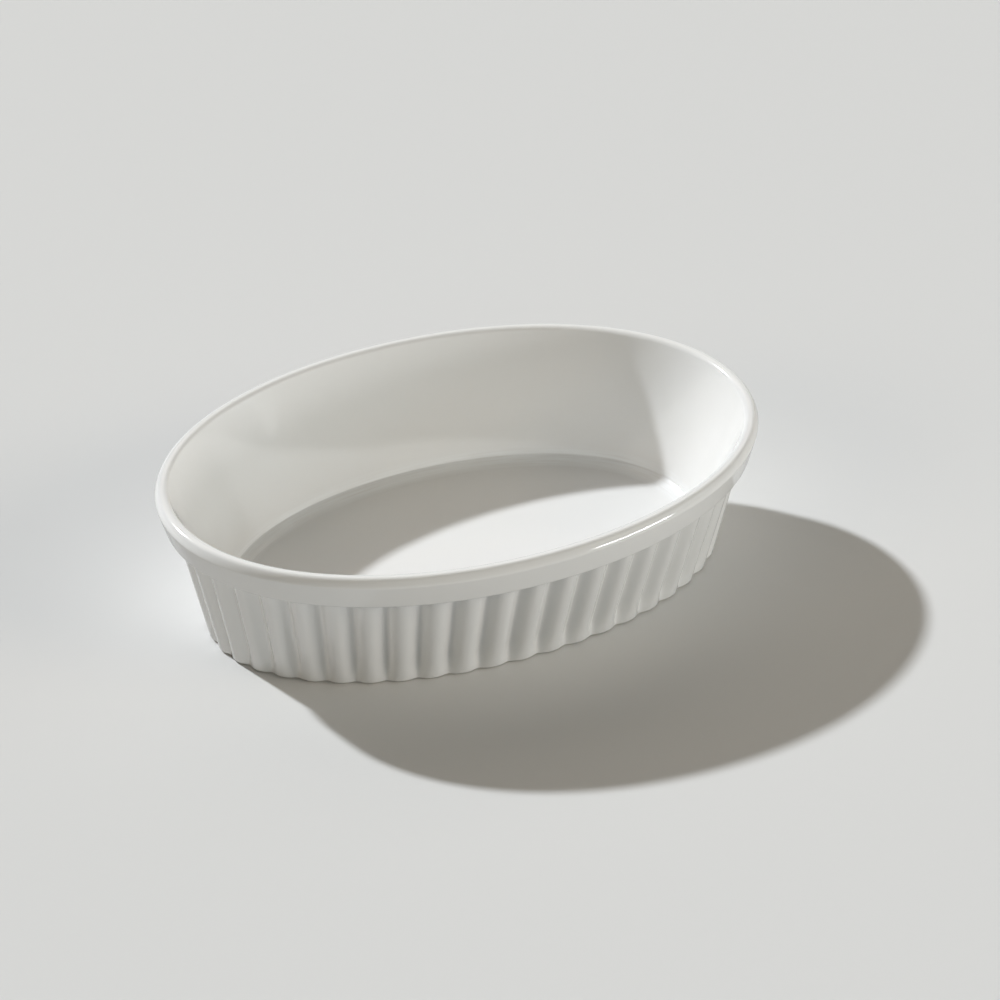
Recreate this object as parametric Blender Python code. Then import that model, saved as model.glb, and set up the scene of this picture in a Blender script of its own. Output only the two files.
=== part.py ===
"""Oval fluted baking dish: one piece of glazed stoneware, a section lofted round an oval.

Metres, +Z up. The origin is the centre of the resting plane, with X along the dish.
A section is a list of points, each an inset from the outermost oval and a height.
"""

import math

import bmesh
import bpy

# Overall size
OVERALL_LENGTH = 0.1650
OVERALL_WIDTH = 0.1232
OVERALL_HEIGHT = 0.0408
OVAL_FULLNESS = 2.04

# Rim: a rounded lip that falls over a long shoulder into a leaning collar
RIM_INNER_RADIUS = 0.0018
RIM_FLAT_WIDTH = 0.0003
RIM_OUTER_RADIUS = 0.0014
SHOULDER_TURN = math.radians(35.0)
SHOULDER_RADIUS = 0.0040
COLLAR_DRAFT = math.radians(16.0)
COLLAR_DROP = 0.0091
COLLAR_EDGE_RADIUS = 0.0008

# Fluted wall: it starts under the collar and leans in more at the sides than at the ends
LEDGE_WIDTH = 0.0020
LEDGE_FALL = 0.0007
WALL_DRAFT_END = math.radians(11.0)
WALL_DRAFT_SIDE = math.radians(21.8)
FLUTE_COUNT = 48
FLUTE_DEPTH = 0.0009
BASE_EDGE_RADIUS = 0.0012

# Inside: a plain leaning wall that meets a shallow cove in a crease
INNER_DRAFT = math.radians(23.0)
FLOOR_THICKNESS = 0.0057
COVE_RADIUS = 0.0060
COVE_SLOPE = math.radians(40.0)

# Underside: an unglazed foot ring round a shallow recess
FOOT_RING_WIDTH = 0.0035
RECESS_DEPTH = 0.0010
RECESS_SIDE_DRAFT = math.radians(45.0)
RECESS_CORNER_RADIUS = 0.0004

# Fineness of the solid
STEPS_PER_FLUTE = 6
STEPS_PER_SMOOTH_FLUTE = 2
ROUND_STEPS = 3
LIP_STEPS = 4
COVE_STEPS = 5
UNDER_SHOULDER_STEPS = 2
FLOOR_SHARE = 0.5
OVAL_WALK_STEPS = 14400
SHARP_EDGE_ANGLE = math.radians(30.0)

DISH_NAME = "dish_body"
GLAZE_COLOUR = (0.80, 0.79, 0.76, 1.0)
GLAZE_ROUGHNESS = 0.16

QUARTER_TURN = math.pi / 2


def oval_reach(angle):
    """Distance from the centre to a superellipse with unit half axes."""
    total = abs(math.cos(angle)) ** OVAL_FULLNESS + abs(math.sin(angle)) ** OVAL_FULLNESS
    return total ** (-1.0 / OVAL_FULLNESS)


def oval_point(angle, inset_end, inset_side, height):
    """Point at an angle on the oval set in by one amount at the ends and another at the sides."""
    reach = oval_reach(angle)
    x = (OVERALL_LENGTH / 2 - inset_end) * reach * math.cos(angle)
    y = (OVERALL_WIDTH / 2 - inset_side) * reach * math.sin(angle)
    return x, y, height


def even_angles(count):
    """Angles that share the length of the oval at the top of the flutes equally."""
    quarter_steps = OVAL_WALK_STEPS // 4
    inset = wall_top()[0]
    travelled = [0.0]
    before = oval_point(0.0, inset, inset, 0.0)
    for step in range(1, quarter_steps + 1):
        here = oval_point(QUARTER_TURN * step / quarter_steps, inset, inset, 0.0)
        travelled.append(travelled[-1] + math.dist(before, here))
        before = here
    angles = []
    step = 0
    per_quarter = count // 4
    for index in range(per_quarter):
        target = travelled[-1] * index / per_quarter
        while travelled[step + 1] < target:
            step += 1
        part = (target - travelled[step]) / (travelled[step + 1] - travelled[step])
        angles.append(QUARTER_TURN * (step + part) / quarter_steps)
    mirrored = [math.pi - angle for angle in reversed(angles[1:])]
    half = angles + [QUARTER_TURN] + mirrored
    return half + [angle + math.pi for angle in half]


def arc(centre, radius, start, end, steps):
    """Points of a section arc. Angles are measured from straight out, and positive is up."""
    points = []
    for step in range(steps + 1):
        turn = start + (end - start) * step / steps
        points.append((centre[0] - radius * math.cos(turn), centre[1] + radius * math.sin(turn)))
    return points


def shoulder_centre():
    """Centre of the shoulder arc, whose outermost point lies on the overall outline."""
    joint_height = OVERALL_HEIGHT - RIM_OUTER_RADIUS * (1.0 - math.sin(SHOULDER_TURN))
    return SHOULDER_RADIUS, joint_height - SHOULDER_RADIUS * math.sin(SHOULDER_TURN)


def outer_lip_centre():
    """Centre of the lip's outer arc, which runs on from the shoulder arc at the shoulder turn."""
    joint_inset = SHOULDER_RADIUS * (1.0 - math.cos(SHOULDER_TURN))
    return joint_inset + RIM_OUTER_RADIUS * math.cos(SHOULDER_TURN), OVERALL_HEIGHT - RIM_OUTER_RADIUS


def collar_edge_centre():
    """Centre of the round along the collar's foot, which touches the leaning collar face."""
    shoulder_inset, shoulder_height = shoulder_centre()
    face_inset = shoulder_inset - SHOULDER_RADIUS * math.cos(COLLAR_DRAFT)
    face_height = shoulder_height - SHOULDER_RADIUS * math.sin(COLLAR_DRAFT)
    height = OVERALL_HEIGHT - COLLAR_DROP + COLLAR_EDGE_RADIUS
    touch_height = height - COLLAR_EDGE_RADIUS * math.sin(COLLAR_DRAFT)
    touch_inset = face_inset + (face_height - touch_height) * math.tan(COLLAR_DRAFT)
    return touch_inset + COLLAR_EDGE_RADIUS * math.cos(COLLAR_DRAFT), height


def wall_top():
    """Inset and height of the line where the flutes meet the ledge under the collar."""
    return collar_edge_centre()[0] + LEDGE_WIDTH, OVERALL_HEIGHT - COLLAR_DROP - LEDGE_FALL


def base_edge_section(draft):
    """Rounded edge between the resting plane and the leaning wall, from the foot outwards and up."""
    top_inset, top_height = wall_top()
    touch_height = BASE_EDGE_RADIUS * (1.0 - math.sin(draft))
    touch_inset = top_inset + (top_height - touch_height) * math.tan(draft)
    centre = (touch_inset + BASE_EDGE_RADIUS * math.cos(draft), BASE_EDGE_RADIUS)
    return arc(centre, BASE_EDGE_RADIUS, -QUARTER_TURN, -draft, ROUND_STEPS)


def recess_section(foot_inset):
    """Rounded corner of the recess and the inner edge of the foot ring, from the middle outwards."""
    inner_foot = foot_inset + FOOT_RING_WIDTH
    touch_height = RECESS_DEPTH - RECESS_CORNER_RADIUS * (1.0 - math.sin(RECESS_SIDE_DRAFT))
    touch_inset = inner_foot + touch_height * math.tan(RECESS_SIDE_DRAFT)
    centre_inset = touch_inset + RECESS_CORNER_RADIUS * math.cos(RECESS_SIDE_DRAFT)
    centre = (centre_inset, RECESS_DEPTH - RECESS_CORNER_RADIUS)
    corner = arc(centre, RECESS_CORNER_RADIUS, QUARTER_TURN, RECESS_SIDE_DRAFT, ROUND_STEPS)
    return corner + [(inner_foot, 0.0)]


def rim_section():
    """Collar edge, shoulder and both arcs of the lip, from the ledge up to where the inner wall starts."""
    edge = arc(collar_edge_centre(), COLLAR_EDGE_RADIUS, -QUARTER_TURN, -COLLAR_DRAFT, ROUND_STEPS)
    under = arc(shoulder_centre(), SHOULDER_RADIUS, -COLLAR_DRAFT, 0.0, UNDER_SHOULDER_STEPS)
    shoulder = arc(shoulder_centre(), SHOULDER_RADIUS, 0.0, SHOULDER_TURN, ROUND_STEPS)
    outer = outer_lip_centre()
    outer_lip = arc(outer, RIM_OUTER_RADIUS, SHOULDER_TURN, QUARTER_TURN, LIP_STEPS)
    inner = (outer[0] + RIM_FLAT_WIDTH, OVERALL_HEIGHT - RIM_INNER_RADIUS)
    inner_lip = arc(inner, RIM_INNER_RADIUS, QUARTER_TURN, math.pi - INNER_DRAFT, LIP_STEPS)
    return edge + under + shoulder[1:] + outer_lip[1:] + inner_lip


def cove_section():
    """Shallow cove between the crease at the foot of the inner wall and the flat floor."""
    wall_inset, wall_height = rim_section()[-1]
    floor_height = RECESS_DEPTH + FLOOR_THICKNESS
    crease_height = floor_height + COVE_RADIUS * (1.0 - math.cos(COVE_SLOPE))
    crease_inset = wall_inset + (wall_height - crease_height) * math.tan(INNER_DRAFT)
    centre = (crease_inset + COVE_RADIUS * math.sin(COVE_SLOPE), floor_height + COVE_RADIUS)
    return arc(centre, COVE_RADIUS, COVE_SLOPE - QUARTER_TURN, -QUARTER_TURN, COVE_STEPS)


def ring(end_point, side_point, angles, flute_depth=0.0):
    """One lofted ring: a section point carried round, blended from ends to sides, with the flutes cut in."""
    steps = len(angles) // FLUTE_COUNT
    points = []
    for index, angle in enumerate(angles):
        across = (index % steps) / steps
        cut = flute_depth * (2.0 * across - 1.0) ** 2
        height = end_point[1] + (side_point[1] - end_point[1]) * math.sin(angle) ** 2
        points.append(oval_point(angle, end_point[0] + cut, side_point[0] + cut, height))
    return points


def dish_rings():
    """All rings from the recess, out and up over the rim, and down to the inside floor."""
    smooth = even_angles(FLUTE_COUNT * STEPS_PER_SMOOTH_FLUTE)
    fine = even_angles(FLUTE_COUNT * STEPS_PER_FLUTE)
    base_end = base_edge_section(WALL_DRAFT_END)
    base_side = base_edge_section(WALL_DRAFT_SIDE)
    recess_end = recess_section(base_end[0][0])
    recess_side = recess_section(base_side[0][0])
    rings = [ring(end, side, smooth) for end, side in zip(recess_end, recess_side)]
    rings += [ring(end, side, fine, FLUTE_DEPTH) for end, side in zip(base_end, base_side)]
    rings.append(ring(wall_top(), wall_top(), fine, FLUTE_DEPTH))
    rings += [ring(point, point, smooth) for point in rim_section() + cove_section()]
    return rings


def bridge(mesh, lower, upper):
    """Faces between two rings. Where one ring is finer, each coarse step takes a fan of fine ones."""
    coarse = min(len(lower), len(upper))
    lower_steps = len(lower) // coarse
    upper_steps = len(upper) // coarse
    for index in range(coarse):
        low = [lower[(index * lower_steps + step) % len(lower)] for step in range(lower_steps + 1)]
        high = [upper[(index * upper_steps + step) % len(upper)] for step in range(upper_steps + 1)]
        if lower_steps == upper_steps:
            mesh.faces.new(low + high[::-1])
        elif lower_steps > upper_steps:
            middle = lower_steps // 2
            for step in range(lower_steps):
                apex = high[0] if step < middle else high[1]
                mesh.faces.new((low[step], low[step + 1], apex))
            mesh.faces.new((low[middle], high[1], high[0]))
        else:
            middle = upper_steps // 2
            for step in range(upper_steps):
                apex = low[0] if step < middle else low[1]
                mesh.faces.new((high[step + 1], high[step], apex))
            mesh.faces.new((low[0], low[1], high[middle]))


def cap(mesh, loop, height, upward):
    """Flat middle of the floor or the recess: one band of faces and a fan round the centre point."""
    inner = [mesh.verts.new((v.co.x * FLOOR_SHARE, v.co.y * FLOOR_SHARE, height)) for v in loop]
    centre = mesh.verts.new((0.0, 0.0, height))
    for index in range(len(loop)):
        follow = (index + 1) % len(loop)
        band = (loop[index], loop[follow], inner[follow], inner[index])
        fan = (inner[index], inner[follow], centre)
        mesh.faces.new(band if upward else band[::-1])
        mesh.faces.new(fan if upward else fan[::-1])


def dish_mesh():
    """Closed mesh of the whole dish, lofted ring by ring."""
    mesh = bmesh.new()
    loops = []
    for points in dish_rings():
        loops.append([mesh.verts.new(point) for point in points])
    for lower, upper in zip(loops, loops[1:]):
        bridge(mesh, lower, upper)
    cap(mesh, loops[0], RECESS_DEPTH, upward=False)
    cap(mesh, loops[-1], RECESS_DEPTH + FLOOR_THICKNESS, upward=True)
    data = bpy.data.meshes.new(DISH_NAME)
    mesh.to_mesh(data)
    mesh.free()
    data.shade_smooth()
    data.set_sharp_from_angle(angle=SHARP_EDGE_ANGLE)
    return data


def glaze_material():
    """Glossy off-white glaze."""
    material = bpy.data.materials.new("white_glaze")
    material.use_nodes = True
    shader = material.node_tree.nodes["Principled BSDF"]
    shader.inputs["Base Color"].default_value = GLAZE_COLOUR
    shader.inputs["Roughness"].default_value = GLAZE_ROUGHNESS
    shader.inputs["Metallic"].default_value = 0.0
    return material


def main():
    for old in list(bpy.data.objects):
        bpy.data.objects.remove(old, do_unlink=True)
    collection = bpy.data.collections.new("oval_fluted_dish")
    bpy.context.scene.collection.children.link(collection)
    dish = bpy.data.objects.new(DISH_NAME, dish_mesh())
    dish.data.materials.append(glaze_material())
    collection.objects.link(dish)


main()
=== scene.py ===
"""Oval fluted baking dish: its glazed surface, bare foot ring, floor, lights and camera.

Everything is in metres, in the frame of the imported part: origin under the middle of the dish, X along it
and Z up.
"""

import math
from collections import namedtuple

import bpy
import numpy as np
from mathutils import Matrix, Vector


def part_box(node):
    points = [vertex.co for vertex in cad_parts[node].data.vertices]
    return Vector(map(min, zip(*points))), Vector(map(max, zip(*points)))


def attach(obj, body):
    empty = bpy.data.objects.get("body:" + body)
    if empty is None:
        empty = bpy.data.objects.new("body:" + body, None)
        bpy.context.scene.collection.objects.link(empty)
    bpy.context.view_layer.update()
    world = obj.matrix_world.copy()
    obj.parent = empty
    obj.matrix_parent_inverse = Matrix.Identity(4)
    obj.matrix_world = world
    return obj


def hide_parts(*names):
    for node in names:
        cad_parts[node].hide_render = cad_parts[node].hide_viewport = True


bl_info = {
    "name": "Oval Fluted Baking Dish",
    "version": (1, 0, 0),
    "blender": (4, 5, 0),
    "location": "View3D > Sidebar > Dish",
    "description": "Makes a glazed oval baking dish with a fluted wall, and a plain studio round it",
    "category": "Add Mesh",
}

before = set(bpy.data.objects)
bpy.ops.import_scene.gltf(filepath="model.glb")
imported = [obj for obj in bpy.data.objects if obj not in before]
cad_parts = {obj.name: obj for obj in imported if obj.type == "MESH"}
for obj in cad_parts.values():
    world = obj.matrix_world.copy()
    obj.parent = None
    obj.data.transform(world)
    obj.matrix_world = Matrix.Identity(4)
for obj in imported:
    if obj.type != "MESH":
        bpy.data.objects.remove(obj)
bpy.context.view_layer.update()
DISH_NODE = "dish_body"
DISH_LOW, DISH_HIGH = (Vector(corner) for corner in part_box(DISH_NODE))
DISH_SPAN = DISH_HIGH - DISH_LOW

RIGHT_ANGLE = math.pi / 2

# How finely the surface is cut

FLUTE_STEPS = 15
VALLEY_CROWDING = 0.55
OVAL_WALK_POINTS = 14401
CAP_SHARES = (0.9, 0.7, 0.45, 0.2)

# Ratios of the section

FOOT_CORNER_SHARE = 0.35
RECESS_REACH = 4
FILLET_TOP_CUT = 0.25
COLLAR_RUN_SHARE = 0.3
COVE_FADE_POWER = 4


class DishSizes(bpy.types.PropertyGroup):
    """Sizes of the dish. Insets are measured inwards from the outermost oval, drops down from the rim."""

    length: bpy.props.FloatProperty(
        name="Length", description="Overall length", default=DISH_SPAN.x, unit="LENGTH")
    width: bpy.props.FloatProperty(
        name="Width", description="Overall width", default=DISH_SPAN.y, unit="LENGTH")
    height: bpy.props.FloatProperty(
        name="Height", description="Overall height", default=DISH_SPAN.z, unit="LENGTH")
    fullness: bpy.props.FloatProperty(
        name="Oval fullness", description="Superellipse power, where 2 is an ellipse", default=2.04)
    lip_inner_radius: bpy.props.FloatProperty(
        name="Lip inner radius", description="Rounding from the top of the lip into the inner wall",
        default=0.0018, unit="LENGTH")
    lip_flat: bpy.props.FloatProperty(
        name="Lip flat", description="Width between the lip's two roundings", default=0.0003, unit="LENGTH")
    lip_outer_radius: bpy.props.FloatProperty(
        name="Lip outer radius", description="Rounding from the top of the lip into the shoulder",
        default=0.0014, unit="LENGTH")
    shoulder_turn: bpy.props.FloatProperty(
        name="Shoulder turn", description="Turn above level where the lip runs into the shoulder",
        default=math.radians(35.0), subtype="ANGLE")
    shoulder_radius: bpy.props.FloatProperty(
        name="Shoulder radius", description="Rounding of the long shoulder", default=0.00465, unit="LENGTH")
    shoulder_edge_turn: bpy.props.FloatProperty(
        name="Shoulder edge turn", description="Turn above level where the shoulder's edge ends",
        default=math.radians(15.0), subtype="ANGLE")
    shoulder_edge_radius: bpy.props.FloatProperty(
        name="Shoulder edge radius", description="Rounding where the shoulder turns into the collar",
        default=0.0012, unit="LENGTH")
    collar_draft: bpy.props.FloatProperty(
        name="Collar draft", description="How far the collar leans in towards its foot",
        default=math.radians(16.0), subtype="ANGLE")
    collar_drop: bpy.props.FloatProperty(
        name="Collar drop", description="Drop from the rim to the collar's lower edge",
        default=0.0091, unit="LENGTH")
    collar_edge_radius: bpy.props.FloatProperty(
        name="Collar edge radius", description="Rounding of the collar's lower edge",
        default=0.0006, unit="LENGTH")
    ledge_width: bpy.props.FloatProperty(
        name="Ledge width", description="From the middle of the collar's edge to the top of the flutes",
        default=0.0020, unit="LENGTH")
    ledge_fall: bpy.props.FloatProperty(
        name="Ledge fall", description="How much the underside of the collar falls towards the wall",
        default=0.0007, unit="LENGTH")
    ledge_fillet: bpy.props.FloatProperty(
        name="Ledge fillet", description="Glaze fillet where the wall meets the collar",
        default=0.0006, unit="LENGTH")
    wall_draft_end: bpy.props.FloatProperty(
        name="Wall draft at the ends", description="Lean of the outer wall at the ends",
        default=math.radians(11.0), subtype="ANGLE")
    wall_draft_side: bpy.props.FloatProperty(
        name="Wall draft at the sides", description="Lean of the outer wall at the sides",
        default=math.radians(21.8), subtype="ANGLE")
    flute_count: bpy.props.IntProperty(
        name="Flutes", description="Number of flutes round the wall", default=48, min=8)
    flute_depth: bpy.props.FloatProperty(
        name="Flute depth", description="Depth of the valleys between the flutes",
        default=0.0022, unit="LENGTH")
    flute_foot_depth: bpy.props.FloatProperty(
        name="Flute depth at the foot", description="Depth of the valleys at the foot of the wall",
        default=0.0009, unit="LENGTH")
    flute_fade_height: bpy.props.FloatProperty(
        name="Flute fade height", description="Height at which the flutes reach their full depth",
        default=0.0070, unit="LENGTH")
    valley_round: bpy.props.FloatProperty(
        name="Valley rounding", description="Share of a half flute that the glaze rounds in each valley",
        default=0.28, subtype="FACTOR")
    base_edge_radius: bpy.props.FloatProperty(
        name="Base edge radius", description="Rounding under the foot of the wall",
        default=0.0012, unit="LENGTH")
    inner_draft: bpy.props.FloatProperty(
        name="Inner draft", description="Lean of the inner wall",
        default=math.radians(23.0), subtype="ANGLE")
    floor_height: bpy.props.FloatProperty(
        name="Floor height", description="Inside floor above the resting plane",
        default=0.0067, unit="LENGTH")
    cove_radius: bpy.props.FloatProperty(
        name="Cove radius", description="Rounding between the crease and the floor",
        default=0.0080, unit="LENGTH")
    cove_slope: bpy.props.FloatProperty(
        name="Cove slope", description="Slope of the cove where it starts at the crease",
        default=math.radians(35.0), subtype="ANGLE")
    crease_radius: bpy.props.FloatProperty(
        name="Crease radius", description="How tightly the inner wall turns into the cove",
        default=0.0006, unit="LENGTH")
    foot_width: bpy.props.FloatProperty(
        name="Foot ring width", description="Width of the flat foot ring", default=0.0035, unit="LENGTH")
    recess_depth: bpy.props.FloatProperty(
        name="Recess depth", description="Depth of the recess inside the foot ring",
        default=0.0010, unit="LENGTH")


class DishFinish(bpy.types.PropertyGroup):
    """Colours and textures of the glaze and of the bare foot, with a painted sheen on the streaks in the
    cove.
    """

    glaze: bpy.props.FloatVectorProperty(
        name="Glaze", description="Colour of the glaze where it lies even", default=(0.895, 0.89, 0.88),
        size=3, subtype="COLOR", min=0.0, max=1.0)
    thick_glaze: bpy.props.FloatVectorProperty(
        name="Thick glaze", description="Cooler colour where the glaze lies thicker",
        default=(0.875, 0.88, 0.875), size=3, subtype="COLOR", min=0.0, max=1.0)
    # Streaks of pooled glaze in the cove, painted lighter and bluer than the glaze as a painted sheen of the
    # sky reflected there.
    cove_glaze_and_sheen: bpy.props.FloatVectorProperty(
        name="Cove glaze", description="Colour of the streaks where the glaze pools in the cove",
        default=(0.96, 0.975, 0.98), size=3, subtype="COLOR", min=0.0, max=1.0)
    bare_clay: bpy.props.FloatVectorProperty(
        name="Bare clay", description="Colour of the unglazed foot ring", default=(0.70, 0.665, 0.60),
        size=3, subtype="COLOR", min=0.0, max=1.0)
    gloss_roughness: bpy.props.FloatProperty(
        name="Glaze roughness", description="Roughness of the clean glaze", default=0.085, subtype="FACTOR")
    coat: bpy.props.FloatProperty(
        name="Clear coat", description="Weight of the clear layer over the glaze",
        default=0.5, subtype="FACTOR")
    coat_roughness: bpy.props.FloatProperty(
        name="Clear coat roughness", description="Roughness of the clear layer",
        default=0.06, subtype="FACTOR")
    bare_roughness: bpy.props.FloatProperty(
        name="Bare roughness", description="Roughness of the unglazed foot ring",
        default=0.85, subtype="FACTOR")
    ripple_depth: bpy.props.FloatProperty(
        name="Ripple depth", description="Height of the glaze's soft ripples",
        default=0.000035, unit="LENGTH")
    ripple_size: bpy.props.FloatProperty(
        name="Ripple size", description="Width of the glaze's soft ripples", default=0.012, unit="LENGTH")
    orange_peel_depth: bpy.props.FloatProperty(
        name="Orange peel depth", description="Height of the glaze's fine dimples",
        default=0.000006, unit="LENGTH")
    orange_peel_size: bpy.props.FloatProperty(
        name="Orange peel size", description="Width of the glaze's fine dimples",
        default=0.0016, unit="LENGTH")
    run_depth: bpy.props.FloatProperty(
        name="Run depth", description="Height of the upright runs in the glaze on the walls",
        default=0.000010, unit="LENGTH")
    run_size: bpy.props.FloatProperty(
        name="Run size", description="Width of the upright runs", default=0.0035, unit="LENGTH")
    run_length: bpy.props.FloatProperty(
        name="Run length", description="Length of the upright runs", default=0.040, unit="LENGTH")
    streak_size: bpy.props.FloatProperty(
        name="Streak size", description="Width of the streaks along the cove",
        default=0.0005, unit="LENGTH")
    streaks_per_metre: bpy.props.FloatProperty(
        name="Streaks per metre", description="How often the streaks change along the cove", default=60.0)
    glaze_line: bpy.props.FloatProperty(
        name="Glaze line", description="Height above the resting plane where the glaze stops",
        default=0.0003, unit="LENGTH")
    glaze_line_wander: bpy.props.FloatProperty(
        name="Glaze line wander", description="How far the edge of the glaze wanders up and down",
        default=0.0004, unit="LENGTH")


class StudioLook(bpy.types.PropertyGroup):
    """Camera, lights and floor. Azimuths of lights turn from +X towards +Y."""

    camera_azimuth: bpy.props.FloatProperty(
        name="Camera azimuth", description="0 looks along +Y", default=math.radians(-23.72), subtype="ANGLE")
    camera_elevation: bpy.props.FloatProperty(
        name="Camera elevation", description="Height of the camera above the floor",
        default=math.radians(32.19), subtype="ANGLE")
    camera_roll: bpy.props.FloatProperty(
        name="Camera roll", description="Turn of the camera about its own axis",
        default=math.radians(-2.24), subtype="ANGLE")
    camera_distance: bpy.props.FloatProperty(
        name="Camera distance", description="From the middle of the dish", default=1.0510, unit="LENGTH")
    aim_x: bpy.props.FloatProperty(
        name="Aim X", description="Point on the floor in the middle of the picture",
        default=0.02500, unit="LENGTH")
    aim_y: bpy.props.FloatProperty(
        name="Aim Y", description="Point on the floor in the middle of the picture",
        default=0.03065, unit="LENGTH")
    focal_length: bpy.props.FloatProperty(
        name="Focal length", description="On the sensor width below", default=141.02, unit="CAMERA")
    sensor_width: bpy.props.FloatProperty(
        name="Sensor width", description="Width of the camera's sensor", default=36.0, unit="CAMERA")
    key_azimuth: bpy.props.FloatProperty(
        name="Key azimuth", description="Direction that the key light comes from",
        default=math.radians(114.6), subtype="ANGLE")
    key_elevation: bpy.props.FloatProperty(
        name="Key elevation", description="Height of the key light above the floor",
        default=math.radians(35.6), subtype="ANGLE")
    key_softness: bpy.props.FloatProperty(
        name="Key softness", description="Angle that the key light covers", default=math.radians(2.6),
        subtype="ANGLE")
    key_strength: bpy.props.FloatProperty(
        name="Key strength", description="Light on a surface that faces the key", default=3.35)
    key_colour: bpy.props.FloatVectorProperty(
        name="Key colour", description="Colour of the key light", default=(0.96, 1.0, 1.04),
        size=3, subtype="COLOR", min=0.0, max=2.0)
    low_front_light: bpy.props.FloatVectorProperty(
        name="Low front strip", description="Radiance of the low strip in front on the right",
        default=(15.8, 15.7, 15.7), size=3, subtype="COLOR", min=0.0)
    right_light: bpy.props.FloatVectorProperty(
        name="Right card", description="Radiance of the card on the right",
        default=(5.7, 6.4, 6.7), size=3, subtype="COLOR", min=0.0)
    low_right_light: bpy.props.FloatVectorProperty(
        name="Low right card", description="Radiance of the low card on the far right",
        default=(4.9, 4.2, 3.6), size=3, subtype="COLOR", min=0.0)
    glow_light: bpy.props.FloatVectorProperty(
        name="Right glow", description="Radiance of the wide pale glow on the far right",
        default=(0.40, 0.40, 0.39), size=3, subtype="COLOR", min=0.0)
    high_front_light: bpy.props.FloatVectorProperty(
        name="High front card", description="Radiance of the high card in front on the right",
        default=(5.3, 4.6, 3.6), size=3, subtype="COLOR", min=0.0)
    front_light: bpy.props.FloatVectorProperty(
        name="Front card", description="Radiance of the card in front on the left",
        default=(1.8, 2.0, 1.9), size=3, subtype="COLOR", min=0.0)
    left_light: bpy.props.FloatVectorProperty(
        name="Left card", description="Radiance of the card on the left",
        default=(3.0, 2.6, 2.1), size=3, subtype="COLOR", min=0.0)
    back_light: bpy.props.FloatVectorProperty(
        name="Back panel", description="Radiance of the high dim panel behind",
        default=(0.76, 0.70, 0.62), size=3, subtype="COLOR", min=0.0)
    backdrop: bpy.props.FloatVectorProperty(
        name="Backdrop", description="Colour behind the floor, which only the camera sees",
        default=(0.88, 0.875, 0.865), size=3, subtype="COLOR", min=0.0, max=1.0)
    floor: bpy.props.FloatVectorProperty(
        name="Floor", description="Colour of the floor as the camera sees it",
        default=(0.70, 0.70, 0.695), size=3, subtype="COLOR", min=0.0, max=1.0)
    floor_bounce: bpy.props.FloatVectorProperty(
        name="Floor bounce", description="Darker colour of the floor in the light that it throws back",
        default=(0.50, 0.50, 0.495), size=3, subtype="COLOR", min=0.0, max=1.0)
    floor_roughness: bpy.props.FloatProperty(
        name="Floor roughness", description="Roughness of the floor", default=0.9, subtype="FACTOR")
    floor_sheen_level: bpy.props.FloatProperty(
        name="Floor specular level", description="How much the floor shines", default=0.2, subtype="FACTOR")
    floor_reach: bpy.props.FloatProperty(
        name="Floor reach", description="From the dish to each side of the floor",
        default=4.0, unit="LENGTH")


# Lights of the sky, in degrees. A card lights the dish softly and stays out of its gloss.

SkyPanel = namedtuple("SkyPanel", "light card azimuth width low high soft")
SKY_PANELS = (
    SkyPanel("low_front_light", card=False, azimuth=-47.5, width=25.0, low=0.0, high=6.2, soft=0.6),
    SkyPanel("right_light", card=True, azimuth=-23.5, width=23.0, low=7.0, high=18.0, soft=4.0),
    SkyPanel("low_right_light", card=True, azimuth=26.0, width=28.0, low=0.0, high=7.0, soft=4.0),
    SkyPanel("glow_light", card=False, azimuth=45.0, width=90.0, low=0.0, high=22.0, soft=4.0),
    SkyPanel("high_front_light", card=True, azimuth=-47.5, width=25.0, low=18.0, high=35.0, soft=4.0),
    SkyPanel("front_light", card=True, azimuth=-105.0, width=30.0, low=18.0, high=35.0, soft=4.0),
    SkyPanel("left_light", card=True, azimuth=-165.0, width=30.0, low=18.0, high=35.0, soft=4.0),
    SkyPanel("back_light", card=False, azimuth=90.0, width=100.0, low=30.0, high=65.0, soft=4.0),
)


# Section of the dish

def arc(centre, radius, start, end, steps):
    """Points at equal turns about a centre. A turn of 0 faces straight out, and positive turns up."""
    turn = np.linspace(start, end, steps)
    return np.stack([centre[0] - radius * np.cos(turn), centre[1] + radius * np.sin(turn)], axis=-1)


def line(first, last, steps):
    """Evenly spaced points strictly between two section points."""
    share = np.linspace(0.0, 1.0, steps + 2)[1:-1, None]
    return np.asarray(first) + (np.asarray(last) - np.asarray(first)) * share


def corner(before, point, after, radius, steps):
    """Rounded corner of the path before, point, after: an arc of the radius that touches both straights.

    Its centre lies on the line that halves the corner, at the radius over the sine of the half angle. Its
    points go from one touch to the other at equal turns.
    """
    point = np.asarray(point, float)
    toward = np.asarray(before, float) - point
    away = np.asarray(after, float) - point
    toward /= np.linalg.norm(toward)
    away /= np.linalg.norm(away)
    half = 0.5 * math.acos(float(np.clip(toward @ away, -1.0, 1.0)))
    reach = radius / math.tan(half)
    middle = (toward + away) / np.linalg.norm(toward + away)
    centre = point + middle * radius / math.sin(half)
    first = point + toward * reach - centre
    last = point + away * reach - centre
    share = np.linspace(0.0, 1.0, steps)[:, None]
    sweep = math.acos(float(np.clip(first @ last, -radius ** 2, radius ** 2)) / radius ** 2)
    return centre + (np.sin((1.0 - share) * sweep) * first + np.sin(share * sweep) * last) / math.sin(sweep)


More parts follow.
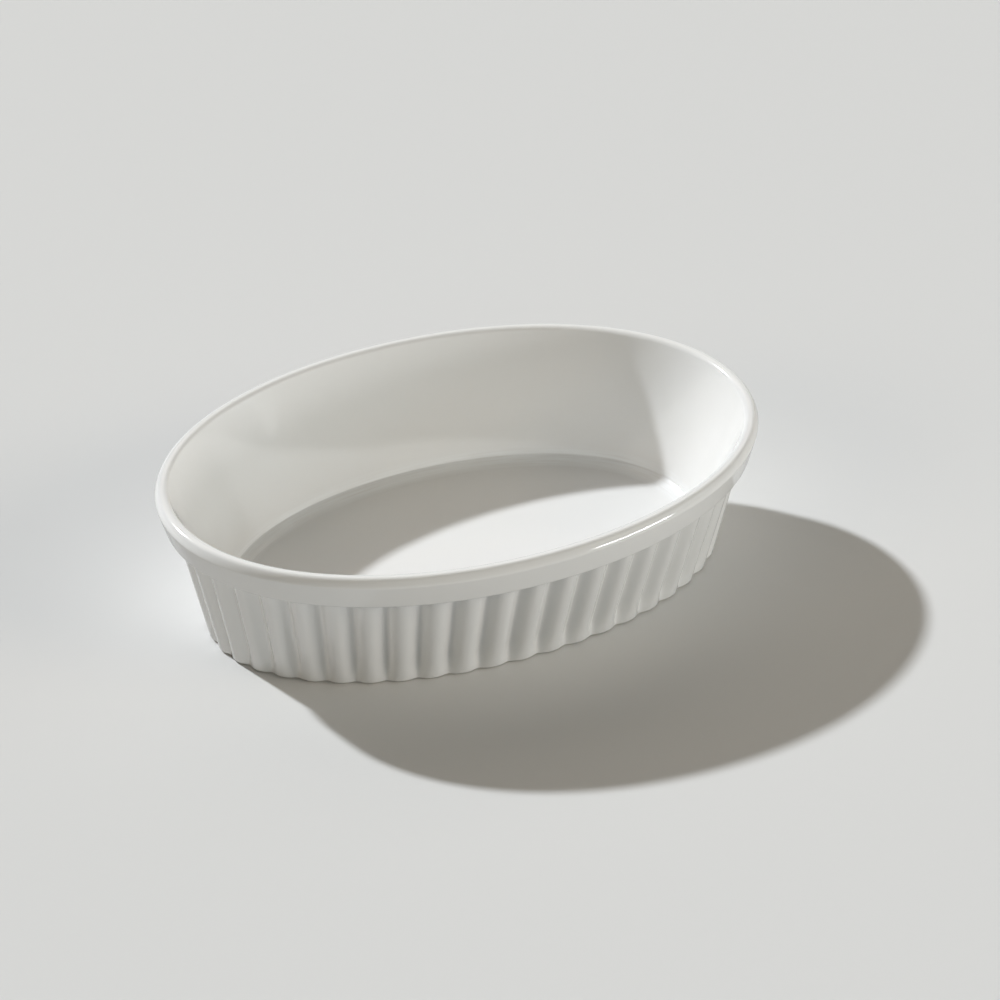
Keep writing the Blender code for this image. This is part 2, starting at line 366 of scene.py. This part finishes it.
def rim_section(sizes):
    """Four arcs from the collar up: the shoulder's edge, the shoulder, and the lip's outer and inner arcs.

    Each arc starts along the end of the one before it, and the widest point of the edge has no inset.
    """
    turn, edge_turn = sizes.shoulder_turn, sizes.shoulder_edge_turn
    joint_height = sizes.height - sizes.lip_outer_radius * (1.0 - math.sin(turn))
    apart = sizes.shoulder_radius - sizes.shoulder_edge_radius
    shoulder_centre = (
        sizes.shoulder_edge_radius + apart * math.cos(edge_turn),
        joint_height - sizes.shoulder_radius * math.sin(turn))
    edge_centre = (sizes.shoulder_edge_radius, shoulder_centre[1] + apart * math.sin(edge_turn))
    joint_inset = shoulder_centre[0] - sizes.shoulder_radius * math.cos(turn)
    outer_centre = (
        joint_inset + sizes.lip_outer_radius * math.cos(turn), sizes.height - sizes.lip_outer_radius)
    inner_centre = (outer_centre[0] + sizes.lip_flat, sizes.height - sizes.lip_inner_radius)
    edge = arc(edge_centre, sizes.shoulder_edge_radius, -sizes.collar_draft, edge_turn, steps=10)
    shoulder = arc(shoulder_centre, sizes.shoulder_radius, edge_turn, turn, steps=9)[1:]
    outer = arc(outer_centre, sizes.lip_outer_radius, turn, RIGHT_ANGLE, steps=10)[1:]
    inner = arc(inner_centre, sizes.lip_inner_radius, RIGHT_ANGLE, math.pi - sizes.inner_draft, steps=14)
    return np.concatenate([edge, shoulder, outer, inner])


def inside_section(sizes, lip_end):
    """Inner wall, and then the crease and the cove down to the floor.

    The crease's arc takes the place of the cove's first three points.
    """
    cove_rise = sizes.cove_radius * (1.0 - math.cos(sizes.cove_slope))
    crease_height = sizes.floor_height + cove_rise
    crease_inset = lip_end[0] + (lip_end[1] - crease_height) * math.tan(sizes.inner_draft)
    centre = (
        crease_inset + sizes.cove_radius * math.sin(sizes.cove_slope),
        sizes.floor_height + sizes.cove_radius)
    cove = arc(centre, sizes.cove_radius, sizes.cove_slope - RIGHT_ANGLE, -RIGHT_ANGLE, steps=14)
    crease = corner(lip_end, cove[0], cove[2], sizes.crease_radius, steps=7)
    wall = line(lip_end, crease[0], steps=12)
    return wall, np.concatenate([crease, cove[3:]])


def foot_section(sizes, foot_inset):
    """Recess under the dish and flat foot ring, from the inside out to the foot's outer edge."""
    foot_inner = foot_inset + sizes.foot_width
    recess_edge = (foot_inner + sizes.recess_depth, sizes.recess_depth)
    recess_floor = (recess_edge[0] + RECESS_REACH * sizes.foot_width, sizes.recess_depth)
    foot_corner = FOOT_CORNER_SHARE * sizes.recess_depth
    recess = np.concatenate([
        corner(recess_floor, recess_edge, (foot_inner, 0.0), foot_corner * 2, steps=5),
        corner(recess_edge, (foot_inner, 0.0), (foot_inset, 0.0), foot_corner, steps=4),
    ])
    return recess, line((foot_inner - foot_corner, 0.0), (foot_inset, 0.0), steps=3)


def flute_share(sizes, height):
    """Share of the flute depth at the given heights, which rises smoothly from the foot's share to 1."""
    rise = np.clip(height / sizes.flute_fade_height, 0.0, 1.0)
    foot_share = sizes.flute_foot_depth / sizes.flute_depth
    return foot_share + (1.0 - foot_share) * rise ** 2 * (3.0 - 2.0 * rise)


def dish_section(sizes, wall_draft):
    """Insets and heights from the recess, round the foot, up the wall, over the rim and down to the floor.

    Each row is one section point, with three more numbers: how much of the flute depth is cut there, and how
    far it counts as a wall for the glaze runs and as the cove, where the glaze pools under a painted sheen.
    """
    rim = rim_section(sizes)
    ledge = sizes.height - sizes.collar_drop
    wall_top = ledge - sizes.ledge_fall
    collar_foot = (rim[0, 0] + (rim[0, 1] - ledge) * math.tan(sizes.collar_draft), ledge)
    edge_reach = (
        sizes.collar_edge_radius * (1.0 - math.sin(sizes.collar_draft)) / math.cos(sizes.collar_draft))
    ledge_root = (collar_foot[0] + edge_reach + sizes.ledge_width, wall_top)
    collar_edge = corner(ledge_root, collar_foot, rim[0], sizes.collar_edge_radius, steps=8)
    collar = line(collar_edge[-1], rim[0], steps=4)

    touch_height = sizes.base_edge_radius * (1.0 - math.sin(wall_draft))
    touch_inset = ledge_root[0] + (wall_top - touch_height) * math.tan(wall_draft)
    foot_inset = touch_inset + sizes.base_edge_radius * math.cos(wall_draft)
    recess, foot = foot_section(sizes, foot_inset)
    base_edge = arc(
        (foot_inset, sizes.base_edge_radius), sizes.base_edge_radius, -RIGHT_ANGLE, -wall_draft, steps=9)
    fillet = corner(base_edge[-1], ledge_root, collar_foot, sizes.ledge_fillet, steps=6)
    wall = line(base_edge[-1], fillet[0], steps=14)

    plain = np.concatenate([collar_edge, collar, rim])
    inner_wall, cove = inside_section(sizes, rim[-1])
    foot_cut = np.linspace(0.0, flute_share(sizes, 0.0), len(foot))
    fillet_cut = np.linspace(1.0, FILLET_TOP_CUT, len(fillet))
    cove_fade = 1.0 - np.linspace(0.0, 1.0, len(cove)) ** COVE_FADE_POWER
    parts = [
        (recess, 0.0, 0.0, 0.0),
        (foot, foot_cut, 0.0, 0.0),
        (base_edge, flute_share(sizes, base_edge[:, 1]), 1.0, 0.0),
        (wall, flute_share(sizes, wall[:, 1]), 1.0, 0.0),
        (fillet, fillet_cut, 1.0, 0.0),
        (plain, 0.0, COLLAR_RUN_SHARE, 0.0),
        (inner_wall, 0.0, 1.0, 0.0),
        (cove, 0.0, 0.0, cove_fade),
    ]
    return np.concatenate([
        np.column_stack([points, *(np.broadcast_to(value, len(points)) for value in values)])
        for points, *values in parts])


# Oval that carries the section

def oval_reach(angle, fullness):
    """Distance to a superellipse with unit half axes, at the given angles."""
    return (np.abs(np.cos(angle)) ** fullness + np.abs(np.sin(angle)) ** fullness) ** (-1.0 / fullness)


def even_angles(sizes, inset, shares):
    """Angles at the given shares of the way round the oval that is set in by the inset."""
    walk = np.linspace(0.0, 2 * math.pi, OVAL_WALK_POINTS)
    reach = oval_reach(walk, sizes.fullness)
    x = (sizes.length / 2 - inset) * reach * np.cos(walk)
    y = (sizes.width / 2 - inset) * reach * np.sin(walk)
    travelled = np.concatenate([[0.0], np.cumsum(np.hypot(np.diff(x), np.diff(y)))])
    return np.interp(shares * travelled[-1], travelled, walk)


def flute_columns(sizes):
    """Shares round the oval, and how deep each column is cut.

    Columns crowd towards the valleys. The cut is the square of the way from crest to valley, so each
    flute is a convex lobe, and the way is a rounded distance, which softens the sharp valley.
    """
    even = np.arange(FLUTE_STEPS) / FLUTE_STEPS
    crowded = 0.5 - 0.5 * np.cos(math.pi * even)
    across = VALLEY_CROWDING * crowded + (1.0 - VALLEY_CROWDING) * even
    from_valley = 1.0 - np.abs(2.0 * across - 1.0)
    soft = np.sqrt(from_valley ** 2 + sizes.valley_round ** 2) - sizes.valley_round
    cut = (1.0 - soft / soft.max()) ** 2
    shares = (np.arange(sizes.flute_count)[:, None] + across[None, :]).ravel() / sizes.flute_count
    return shares, np.tile(cut, sizes.flute_count)


def dish_points(sizes):
    """Grid of points, section point by angle.

    The section is worked out for the ends and for the sides. Its insets shrink the long and the short half
    axis of the oval, and its heights blend with the square of the sine of the angle.
    """
    end = dish_section(sizes, sizes.wall_draft_end)
    side = dish_section(sizes, sizes.wall_draft_side)
    shares, cut = flute_columns(sizes)
    flute_top = end[end[:, 2] > 0.0][-1, 0]
    angle = even_angles(sizes, flute_top, shares)
    reach = oval_reach(angle, sizes.fullness)
    depth = sizes.flute_depth * end[:, 2, None] * cut[None, :]
    x = (sizes.length / 2 - end[:, 0, None] - depth) * (reach * np.cos(angle))[None, :]
    y = (sizes.width / 2 - side[:, 0, None] - depth) * (reach * np.sin(angle))[None, :]
    side_share = np.sin(angle)[None, :] ** 2
    z = end[:, 1, None] * (1.0 - side_share) + side[:, 1, None] * side_share
    return np.stack([x, y, z], axis=-1)


# Mesh of the dish

def cap_rings(ring, shares):
    """Flat rings that shrink a ring towards the middle, at the height of its first point."""
    rings = ring[None] * np.asarray(shares)[:, None, None]
    rings[..., 2] = ring[0, 2]
    return rings


def closed_grid_mesh(name, grid):
    """Mesh of a grid that closes round its columns, with a flat cap of shrinking rings at each end."""
    grid = np.concatenate([cap_rings(grid[0], CAP_SHARES[::-1]), grid, cap_rings(grid[-1], CAP_SHARES)])
    rows, columns = grid.shape[:2]
    poles = np.array([[0.0, 0.0, grid[0, 0, 2]], [0.0, 0.0, grid[-1, 0, 2]]])
    points = np.concatenate([grid.reshape(-1, 3), poles])
    here = np.arange(rows * columns).reshape(rows, columns)
    beside = np.roll(here, -1, axis=1)
    quads = np.stack([here[:-1], beside[:-1], beside[1:], here[1:]], axis=-1).reshape(-1, 4)
    under = np.stack([beside[0], here[0], np.full(columns, rows * columns)], axis=-1)
    over = np.stack([here[-1], beside[-1], np.full(columns, rows * columns + 1)], axis=-1)
    mesh = bpy.data.meshes.new(name)
    mesh.from_pydata(points.tolist(), [], quads.tolist() + under.tolist() + over.tolist())
    mesh.update()
    mesh.shade_smooth()
    return mesh


def row_values(values, columns):
    """One value for each point of the closed mesh: each row's own, and each end row's again on its cap."""
    rows = np.pad(values, len(CAP_SHARES), mode="edge")
    return np.concatenate([np.repeat(rows, columns), rows[[0, -1]]])


def store_glaze_run(mesh, sizes, grid):
    """Three attributes that let the glaze follow the shape.

    glaze_run is each column's place on the outermost oval, with the distance along the section as its third
    number. glaze_wall and sheen_and_pool_share are the section's two shares, and are nothing on the caps;
    the second marks the cove, where the pooled glaze and its painted sheen lie.
    """
    section = dish_section(sizes, sizes.wall_draft_end)
    rows, columns = grid.shape[:2]
    steps = np.hypot(np.diff(section[:, 0]), np.diff(section[:, 1]))
    along = row_values(np.concatenate([[0.0], np.cumsum(steps)]), columns)
    widest = grid[np.argmax(grid[:, 0, 0])]
    column = np.append(np.tile(np.arange(columns), rows + 2 * len(CAP_SHARES)), [0, 0])
    run = np.column_stack([widest[column, :2], along])
    mesh.attributes.new("glaze_run", "FLOAT_VECTOR", "POINT").data.foreach_set("vector", run.ravel())
    for label, place in (("glaze_wall", 3), ("sheen_and_pool_share", 4)):
        share = row_values(section[:, place], columns)
        mesh.attributes.new(label, "FLOAT", "POINT").data.foreach_set("value", share)


def add_piece(name, mesh):
    """Object with its place in its mesh, linked to the scene."""
    piece = bpy.data.objects.new(name, mesh)
    bpy.context.scene.collection.objects.link(piece)
    return piece


# Nodes

def node(tree, kind, place, **values):
    """New node with some of its settings."""
    made = tree.nodes.new(kind)
    made.location = place
    for key, value in values.items():
        setattr(made, key, value)
    return made


def feed(tree, socket, value):
    """Link a socket's value to an input, or write a number or a colour on it."""
    if isinstance(value, bpy.types.NodeSocket):
        tree.links.new(value, socket)
    else:
        socket.default_value = value


def maths(tree, place, operation, *values):
    """Result of one math node."""
    made = node(tree, "ShaderNodeMath", place, operation=operation)
    for socket, value in zip(made.inputs, values):
        feed(tree, socket, value)
    return made.outputs[0]


def noise(tree, place, vector, scale, detail):
    """Soft noise, about 0.5, at some coordinates."""
    made = node(tree, "ShaderNodeTexNoise", place)
    for label, value in (("Vector", vector), ("Scale", scale), ("Detail", detail)):
        feed(tree, made.inputs[label], value)
    return made.outputs["Fac"]


def ramp(tree, place, value, start, end, low=0.0, high=1.0, kind="LINEAR"):
    """Low where the value is at the start or before it, and high from the end on."""
    made = node(tree, "ShaderNodeMapRange", place, interpolation_type=kind)
    labels = ("Value", "From Min", "From Max", "To Min", "To Max")
    for label, number in zip(labels, (value, start, end, low, high)):
        feed(tree, made.inputs[label], number)
    return made.outputs["Result"]


def blend(tree, place, kind, share, first, second):
    """The first value where the share is 0, and the second where it is 1."""
    made = node(tree, "ShaderNodeMix", place, data_type=kind)
    for label, value in (("Factor", share), ("A", first), ("B", second)):
        feed(tree, made.inputs[label], value)
    return made.outputs["Result"]


def stretched(tree, place, vector, scale):
    """Coordinates multiplied by three numbers."""
    made = node(tree, "ShaderNodeMapping", place)
    made.inputs["Scale"].default_value = scale
    tree.links.new(vector, made.inputs["Vector"])
    return made.outputs["Vector"]


def group_sockets(group, inputs, outputs):
    """Named inputs, with their defaults, and outputs of a shader node group."""
    for label, kind, value in inputs:
        socket = group.interface.new_socket(label, in_out="INPUT", socket_type=kind)
        if value is not None:
            socket.default_value = value
    for label, kind in outputs:
        group.interface.new_socket(label, in_out="OUTPUT", socket_type=kind)


# Glaze

def glaze_relief_group():
    """Node group: height of soft ripples and of fine dimples, in metres, from some coordinates."""
    group = bpy.data.node_groups.new("glaze_relief", "ShaderNodeTree")
    group_sockets(
        group,
        [("Vector", "NodeSocketVector", None), ("Ripple Size", "NodeSocketFloat", 0.012),
         ("Ripple Depth", "NodeSocketFloat", 0.000035), ("Dimple Size", "NodeSocketFloat", 0.0016),
         ("Dimple Depth", "NodeSocketFloat", 0.000006)],
        [("Height", "NodeSocketFloat")],
    )
    entry = node(group, "NodeGroupInput", (-900, 0))
    leave = node(group, "NodeGroupOutput", (500, 0))
    heights = []
    for row, (kind, detail) in enumerate((("Ripple", 1.0), ("Dimple", 0.0))):
        drop = -260 * row
        scale = maths(group, (-650, drop), "DIVIDE", 1.0, entry.outputs[f"{kind} Size"])
        wave = noise(group, (-400, drop), entry.outputs["Vector"], scale, detail)
        centred = maths(group, (-150, drop), "SUBTRACT", wave, 0.5)
        heights.append(maths(group, (60, drop), "MULTIPLY", centred, entry.outputs[f"{kind} Depth"]))
    group.links.new(maths(group, (300, 0), "ADD", *heights), leave.inputs["Height"])
    return group


def bare_foot(tree, place, finish):
    """1 on the bare foot ring and 0 on the glaze, whose lower edge wanders a little."""
    wander_scale = 140.0
    edge_below, edge_above = -0.00025, -0.00015
    split = node(tree, "ShaderNodeSeparateXYZ", (-1300, -300))
    tree.links.new(place, split.inputs[0])
    wander = noise(tree, (-1300, -520), place, wander_scale, 2.0)
    edge = maths(tree, (-1100, -420), "MULTIPLY_ADD", wander, -finish.glaze_line_wander, split.outputs["Z"])
    return ramp(
        tree, (-900, -420), edge, finish.glaze_line + edge_below, finish.glaze_line + edge_above,
        low=1.0, high=0.0, kind="SMOOTHSTEP")


def cove_pool_and_sheen(tree, run, finish):
    """Share of pooled glaze and of its painted sheen: streaks that run along the cove, painted lighter and
    bluer.
    """
    streak_start, streak_end = 0.25, 0.6
    cove = node(tree, "ShaderNodeAttribute", (-1500, 640), attribute_name="sheen_and_pool_share")
    along = finish.streaks_per_metre
    place = stretched(tree, (-1500, 900), run, (along, along, 1.0 / finish.streak_size))
    streak = noise(tree, (-1300, 900), place, 1.0, 2.0)
    share = ramp(tree, (-1100, 900), streak, streak_start, streak_end)
    return maths(tree, (-900, 700), "MULTIPLY", share, cove.outputs["Fac"])


def wall_runs(tree, run, finish):
    """Height of the upright runs on the walls."""
    wall = node(tree, "ShaderNodeAttribute", (-1500, -1300), attribute_name="glaze_wall")
    across = 1.0 / finish.run_size
    place = stretched(tree, (-1500, -900), run, (across, across, 1.0 / finish.run_length))
    wave = noise(tree, (-1300, -900), place, 1.0, 1.0)
    height = maths(tree, (-1100, -1000), "MULTIPLY", wave, finish.run_depth)
    return maths(tree, (-900, -1000), "MULTIPLY", height, wall.outputs["Fac"])


def glaze_bump(tree, place, run, finish):
    """Normal of the glaze, with its ripples, dimples and runs."""
    relief = node(tree, "ShaderNodeGroup", (-800, -260), node_tree=glaze_relief_group())
    tree.links.new(place, relief.inputs["Vector"])
    for label, value in (
        ("Ripple Size", finish.ripple_size), ("Ripple Depth", finish.ripple_depth),
        ("Dimple Size", finish.orange_peel_size), ("Dimple Depth", finish.orange_peel_depth),
    ):
        relief.inputs[label].default_value = value
    height = maths(tree, (-600, -400), "ADD", relief.outputs["Height"], wall_runs(tree, run, finish))
    bump = node(tree, "ShaderNodeBump", (-400, -260))
    bump.inputs["Distance"].default_value = 1.0
    tree.links.new(height, bump.inputs["Height"])
    return bump.outputs["Normal"]


def glaze_material(finish):
    """Glossy white glaze under a clear coat, rippled, pooled in the cove under a lighter, bluer painted
    sheen, bare and matt on the foot ring.
    """
    cloud_scale = 28.0
    smoother, rougher = -0.02, 0.04
    material = bpy.data.materials.new("white_glaze_finish")
    material.use_nodes = True
    tree = material.node_tree
    shader = tree.nodes["Principled BSDF"]
    place = node(tree, "ShaderNodeTexCoord", (-1500, 0)).outputs["Object"]
    run = node(tree, "ShaderNodeAttribute", (-1900, -900), attribute_name="glaze_run").outputs["Vector"]
    bare = bare_foot(tree, place, finish)
    cloud = noise(tree, (-1100, 320), place, cloud_scale, 3.0)

    body = blend(tree, (-800, 320), "RGBA", cloud, (*finish.glaze, 1.0), (*finish.thick_glaze, 1.0))
    # Pooled glaze streaks in the cove, painted lighter and bluer as a painted sheen of the sky.
    pool_and_sheen = blend(tree, (-600, 480), "RGBA", cove_pool_and_sheen(tree, run, finish), body, (*finish.cove_glaze_and_sheen, 1.0))
    colour = blend(tree, (-400, 240), "RGBA", bare, pool_and_sheen, (*finish.bare_clay, 1.0))
    smear = ramp(
        tree, (-800, 20), cloud, 0.0, 1.0,
        low=finish.gloss_roughness + smoother, high=finish.gloss_roughness + rougher)
    tree.links.new(colour, shader.inputs["Base Color"])
    tree.links.new(
        blend(tree, (-400, 20), "FLOAT", bare, smear, finish.bare_roughness), shader.inputs["Roughness"])
    tree.links.new(blend(tree, (-400, 120), "FLOAT", bare, finish.coat, 0.0), shader.inputs["Coat Weight"])
    tree.links.new(glaze_bump(tree, place, run, finish), shader.inputs["Normal"])
    shader.inputs["Coat Roughness"].default_value = finish.coat_roughness
    return material


# Studio

def floor_material(look):
    """Plain pale matt floor, which is darker in the light that it throws back than to the camera."""
    material = bpy.data.materials.new("pale_floor")
    material.use_nodes = True
    tree = material.node_tree
    shader = tree.nodes["Principled BSDF"]
    seen = node(tree, "ShaderNodeLightPath", (-600, 0)).outputs["Is Camera Ray"]
    colour = blend(tree, (-300, 0), "RGBA", seen, (*look.floor_bounce, 1.0), (*look.floor, 1.0))
    tree.links.new(colour, shader.inputs["Base Color"])
    shader.inputs["Roughness"].default_value = look.floor_roughness
    shader.inputs["Specular IOR Level"].default_value = look.floor_sheen_level
    return material


def sky_panel_group():
    """Node group: mask of a soft rectangle in the sky, from its azimuth, its width and its two elevations.

    The azimuth of a direction is the angle of its level part, and its elevation the arcsine of its height.
    Each edge of the mask rises smoothly over twice the softness.
    """
    group = bpy.data.node_groups.new("sky_panel", "ShaderNodeTree")
    group_sockets(
        group,
        [("Azimuth", "NodeSocketFloat", 0.0), ("Width", "NodeSocketFloat", 1.0),
         ("Low", "NodeSocketFloat", 0.0), ("High", "NodeSocketFloat", 0.5),
         ("Soft", "NodeSocketFloat", 0.07)],
        [("Mask", "NodeSocketFloat")],
    )
    entry = node(group, "NodeGroupInput", (-1300, 0))
    leave = node(group, "NodeGroupOutput", (700, 0))
    place = node(group, "ShaderNodeTexCoord", (-1300, -300))
    split = node(group, "ShaderNodeSeparateXYZ", (-1100, -300))
    group.links.new(place.outputs["Generated"], split.inputs[0])
    soft = entry.outputs["Soft"]
    beyond = maths(group, (-700, -600), "MULTIPLY", soft, -1.0)

    azimuth = maths(group, (-900, 200), "ARCTAN2", split.outputs["Y"], split.outputs["X"])
    elevation = maths(group, (-900, -300), "ARCSINE", split.outputs["Z"])
    turned = maths(group, (-700, 200), "SUBTRACT", azimuth, entry.outputs["Azimuth"])
    off_axis = maths(group, (-500, 200), "ARCCOSINE", maths(group, (-600, 200), "COSINE", turned))
    half = maths(group, (-700, 60), "MULTIPLY", entry.outputs["Width"], 0.5)
    insides = (
        maths(group, (-300, 200), "SUBTRACT", half, off_axis),
        maths(group, (-300, -100), "SUBTRACT", elevation, entry.outputs["Low"]),
        maths(group, (-300, -400), "SUBTRACT", entry.outputs["High"], elevation),
    )
    across, above, below = (
        ramp(group, (0, 200 - 300 * row), inside, beyond, soft, kind="SMOOTHSTEP")
        for row, inside in enumerate(insides))
    band = maths(group, (300, -200), "MULTIPLY", above, below)
    group.links.new(maths(group, (500, 0), "MULTIPLY", band, across), leave.inputs["Mask"])
    return group


def sky_light(tree, rays, look):
    """Light of all the panels together. The cards are left out of glossy rays."""
    mask = sky_panel_group()
    not_gloss = maths(tree, (-800, 400), "SUBTRACT", 1.0, rays.outputs["Is Glossy Ray"])
    total = None
    for row, panel in enumerate(SKY_PANELS):
        drop = -220 * row
        shape = node(tree, "ShaderNodeGroup", (-800, drop), node_tree=mask)
        for label in ("azimuth", "width", "low", "high", "soft"):
            shape.inputs[label.capitalize()].default_value = math.radians(getattr(panel, label))
        seen = shape.outputs["Mask"]
        if panel.card:
            seen = maths(tree, (-600, drop), "MULTIPLY", seen, not_gloss)
        glow = node(tree, "ShaderNodeVectorMath", (-400, drop), operation="MULTIPLY_ADD")
        glow.inputs[1].default_value = getattr(look, panel.light)
        tree.links.new(seen, glow.inputs[0])
        if total:
            tree.links.new(total, glow.inputs[2])
        total = glow.outputs["Vector"]
    return total


# Operators

class DISH_OT_make_body(bpy.types.Operator):
    """Make the glazed dish, from its foot ring to its lip"""

    bl_idname = "dish.make_body"
    bl_label = "Make Dish"

    def execute(self, context):
        """The dish is one closed surface that stands for the solid."""
        sizes = context.scene.dish_sizes
        grid = dish_points(sizes)
        mesh = closed_grid_mesh("glazed_dish", grid)
        store_glaze_run(mesh, sizes, grid)
        mesh.materials.append(glaze_material(context.scene.dish_finish))
        piece = add_piece("glazed_dish", mesh)
        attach(piece, "root")
        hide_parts(DISH_NODE)
        return {"FINISHED"}


class DISH_OT_make_studio(bpy.types.Operator):
    """Make the floor, the lights and the camera"""

    bl_idname = "dish.make_studio"
    bl_label = "Make Studio"

    def execute(self, context):
        """The key light comes from behind, so the side that faces the camera is in soft shade."""
        look = context.scene.studio_look
        self.make_floor(look)
        self.make_key(context, look)
        self.make_sky(context, look)
        self.make_camera(context, look)
        return {"FINISHED"}

    def make_floor(self, look):
        """Square of floor, centred under the dish."""
        reach = look.floor_reach
        corners = [(-reach, -reach, 0.0), (reach, -reach, 0.0), (reach, reach, 0.0), (-reach, reach, 0.0)]
        mesh = bpy.data.meshes.new("studio_floor")
        mesh.from_pydata(corners, [], [(0, 1, 2, 3)])
        mesh.materials.append(floor_material(look))
        add_piece("studio_floor", mesh)

    def make_key(self, context, look):
        """A distant lamp."""
        key = bpy.data.lights.new("key", "SUN")
        key.energy = look.key_strength
        key.color = look.key_colour
        key.angle = look.key_softness
        key_object = bpy.data.objects.new("key", key)
        level = math.cos(look.key_elevation)
        from_key = Vector((
            math.cos(look.key_azimuth) * level, math.sin(look.key_azimuth) * level,
            math.sin(look.key_elevation)))
        key_object.rotation_mode = "QUATERNION"
        key_object.rotation_quaternion = from_key.to_track_quat("Z", "Y")
        context.scene.collection.objects.link(key_object)

    def make_sky(self, context, look):
        """Soft panels in a dark sky, and a pale backdrop that only the camera sees."""
        world = bpy.data.worlds.new("studio")
        world.use_nodes = True
        tree = world.node_tree
        rays = node(tree, "ShaderNodeLightPath", (-1000, 400))
        sky = tree.nodes["Background"]
        tree.links.new(sky_light(tree, rays, look), sky.inputs["Color"])
        backdrop = node(tree, "ShaderNodeBackground", (-200, -300))
        backdrop.inputs["Color"].default_value = (*look.backdrop, 1.0)
        choice = node(tree, "ShaderNodeMixShader", (80, 100))
        tree.links.new(rays.outputs["Is Camera Ray"], choice.inputs["Fac"])
        tree.links.new(sky.outputs[0], choice.inputs[1])
        tree.links.new(backdrop.outputs[0], choice.inputs[2])
        tree.links.new(choice.outputs[0], tree.nodes["World Output"].inputs["Surface"])
        context.scene.world = world

    def make_camera(self, context, look):
        """Camera at the photograph's angle, turned slightly about its own axis."""
        level = math.cos(look.camera_elevation)
        away = Vector((
            math.sin(look.camera_azimuth) * level, -math.cos(look.camera_azimuth) * level,
            math.sin(look.camera_elevation)))
        place = away * look.camera_distance
        ahead = (Vector((look.aim_x, look.aim_y, 0.0)) - place).normalized()
        right = ahead.cross(Vector((0.0, 0.0, 1.0))).normalized()
        turned = right * math.cos(look.camera_roll) + right.cross(ahead) * math.sin(look.camera_roll)
        camera = bpy.data.cameras.new("camera")
        camera.sensor_width = look.sensor_width
        camera.lens = look.focal_length
        camera.clip_start = 0.05
        camera.clip_end = 50.0
        camera_object = bpy.data.objects.new("camera", camera)
        above = turned.cross(ahead)
        turn = Matrix((turned, above, -ahead)).transposed()
        camera_object.matrix_world = Matrix.Translation(place) @ turn.to_4x4()
        context.scene.collection.objects.link(camera_object)
        context.scene.camera = camera_object


class DISH_PT_panel(bpy.types.Panel):
    """Sizes, finish and studio of the dish"""

    bl_idname = "DISH_PT_panel"
    bl_label = "Oval Fluted Dish"
    bl_space_type = "VIEW_3D"
    bl_region_type = "UI"
    bl_category = "Dish"

    def draw(self, context):
        """One box of settings for each group, each under its operator."""
        scene = context.scene
        for operator, groups in (
            (DISH_OT_make_body, (scene.dish_sizes, scene.dish_finish)),
            (DISH_OT_make_studio, (scene.studio_look,)),
        ):
            self.layout.operator(operator.bl_idname)
            for group in groups:
                box = self.layout.box()
                for name in group.__annotations__:
                    box.prop(group, name)


CLASSES = (DishSizes, DishFinish, StudioLook, DISH_OT_make_body, DISH_OT_make_studio, DISH_PT_panel)


def register():
    """Register the classes and hang their settings on the scene."""
    for item in CLASSES:
        bpy.utils.register_class(item)
    bpy.types.Scene.dish_sizes = bpy.props.PointerProperty(type=DishSizes)
    bpy.types.Scene.dish_finish = bpy.props.PointerProperty(type=DishFinish)
    bpy.types.Scene.studio_look = bpy.props.PointerProperty(type=StudioLook)


def unregister():
    """Take the settings off the scene and unregister the classes."""
    del bpy.types.Scene.studio_look
    del bpy.types.Scene.dish_finish
    del bpy.types.Scene.dish_sizes
    for item in reversed(CLASSES):
        bpy.utils.unregister_class(item)


def main():
    """Make everything in order."""
    register()
    bpy.context.scene.view_settings.view_transform = "Standard"
    bpy.ops.dish.make_body()
    bpy.ops.dish.make_studio()


if __name__ == "__main__":
    main()
